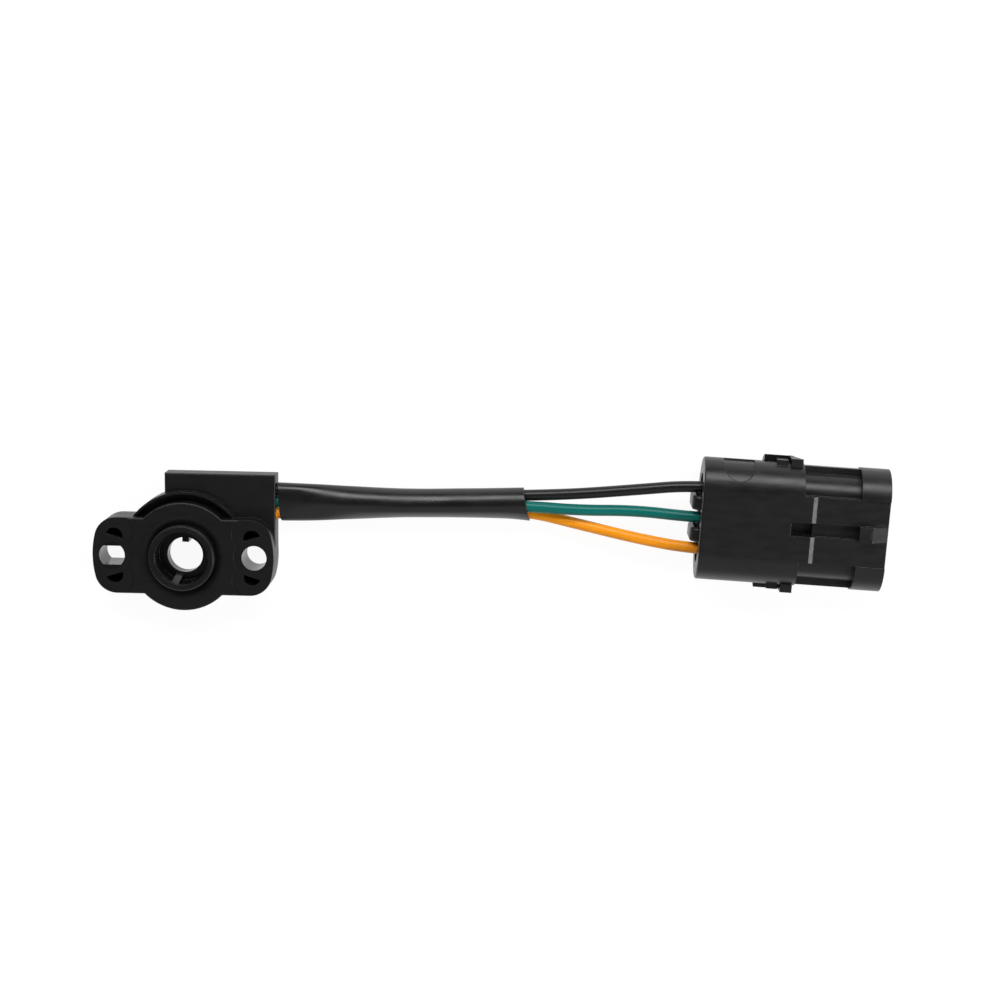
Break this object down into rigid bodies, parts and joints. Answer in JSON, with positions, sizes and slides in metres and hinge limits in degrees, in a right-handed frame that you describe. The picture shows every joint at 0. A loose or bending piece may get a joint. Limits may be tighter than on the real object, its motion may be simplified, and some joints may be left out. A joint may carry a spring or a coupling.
{
  "type": "throttle position sensor",
  "caption": "Throttle position sensor: eared flange round a keyed rotor socket, moulded terminal box, and a short sleeved wire lead that ends in a sealed in-line connector.",
  "frame": {"origin": "where the rotor axis meets the flat back of the housing", "axes": "+Z along the rotor axis, out of the mounting face; +X along the mounting ears towards the wire lead; +Y from the rotor towards the terminal box"},
  "size_m": [0.1768, 0.0381, 0.0143],
  "materials": {
    "housing_plastic": "fine moulded grain",
    "cover_plastic": "fine moulded grain",
    "rotor_plastic": "smooth moulded",
    "seal_rubber": "matt",
    "contact_metal": "sprung sheet",
    "board": "resistive film on laminate",
    "terminal_metal": "tinned",
    "potting": "cast resin",
    "wire_black": "extruded, semi-gloss",
    "wire_green": "extruded, semi-gloss",
    "wire_orange": "extruded, semi-gloss",
    "sleeve": "shrunk sleeve, semi-gloss",
    "connector_plastic": "fine moulded grain",
    "lock_plastic": "smooth moulded"
  },
  "bodies": {
    "base": {"housing": "housing_plastic", "back_cover": "cover_plastic", "rotor_seal": "seal_rubber", "element_board": "board", "board_terminal_black": "terminal_metal", "board_terminal_green": "terminal_metal", "board_terminal_orange": "terminal_metal", "potting_plug": "potting", "black_wire": "wire_black", "green_wire": "wire_green", "orange_wire": "wire_orange", "sleeve": "sleeve", "connector_housing": "connector_plastic", "connector_lock": "lock_plastic", "wire_seal_black": "seal_rubber", "wire_seal_green": "seal_rubber", "wire_seal_orange": "seal_rubber", "pin_terminal_black": "terminal_metal", "pin_terminal_green": "terminal_metal", "pin_terminal_orange": "terminal_metal"},
    "rotor": {"rotor": "rotor_plastic", "wiper": "contact_metal"}
  },
  "joints": [
    {"name": "rotor_turn", "type": "hinge", "parent": "base", "child": "rotor", "pos_m": [0, 0, 0], "axis": [0, 0, 1], "range_deg": [0, 100]}
  ]
}
